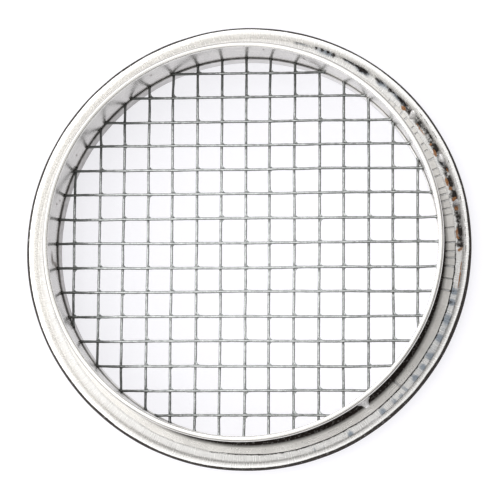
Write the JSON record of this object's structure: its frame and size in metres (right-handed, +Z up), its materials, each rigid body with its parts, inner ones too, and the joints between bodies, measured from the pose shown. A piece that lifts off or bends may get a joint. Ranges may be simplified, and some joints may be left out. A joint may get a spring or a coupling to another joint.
{
  "type": "soil sieve",
  "caption": "Round sheet-metal soil sieve: an upright collar round a square welded wire mesh, on a dished ring with a rolled outer rim.",
  "frame": {"origin": "on the sieve's axis, in the plane that it rests on", "axes": "+Z up along the axis, out of the collar's open top; +X along the upper layer of mesh wires; +Y along the lower layer"},
  "size_m": [0.2308, 0.2308, 0.0362],
  "materials": {
    "collar_sheet": "bright zinc-coated sheet, smooth, lightly scratched",
    "ring_sheet": "hammered zinc-coated sheet with dark tarnish and a little rust",
    "hoop_sheet": "dull zinc-coated sheet",
    "mesh_zinc": "lumpy hot-dip zinc",
    "core_wire": "plain drawn wire",
    "solder": "bright solder"
  },
  "bodies": {
    "root": {"collar": "collar_sheet", "collar_hem_wire": "core_wire", "collar_seam_solder": "solder", "dished_ring": "ring_sheet", "rim_wire": "core_wire", "mesh_hoop": "hoop_sheet", "solder_tacks": "solder", "line_wire_01": "mesh_zinc", "line_wire_02": "mesh_zinc", "line_wire_03": "mesh_zinc", "line_wire_04": "mesh_zinc", "line_wire_05": "mesh_zinc", "line_wire_06": "mesh_zinc", "line_wire_07": "mesh_zinc", "line_wire_08": "mesh_zinc", "line_wire_09": "mesh_zinc", "line_wire_10": "mesh_zinc", "line_wire_11": "mesh_zinc", "line_wire_12": "mesh_zinc", "line_wire_13": "mesh_zinc", "line_wire_14": "mesh_zinc", "line_wire_15": "mesh_zinc", "cross_wire_01": "mesh_zinc", "cross_wire_02": "mesh_zinc", "cross_wire_03": "mesh_zinc", "cross_wire_04": "mesh_zinc", "cross_wire_05": "mesh_zinc", "cross_wire_06": "mesh_zinc", "cross_wire_07": "mesh_zinc", "cross_wire_08": "mesh_zinc", "cross_wire_09": "mesh_zinc", "cross_wire_10": "mesh_zinc", "cross_wire_11": "mesh_zinc", "cross_wire_12": "mesh_zinc", "cross_wire_13": "mesh_zinc", "cross_wire_14": "mesh_zinc", "cross_wire_15": "mesh_zinc"}
  },
  "joints": []
}
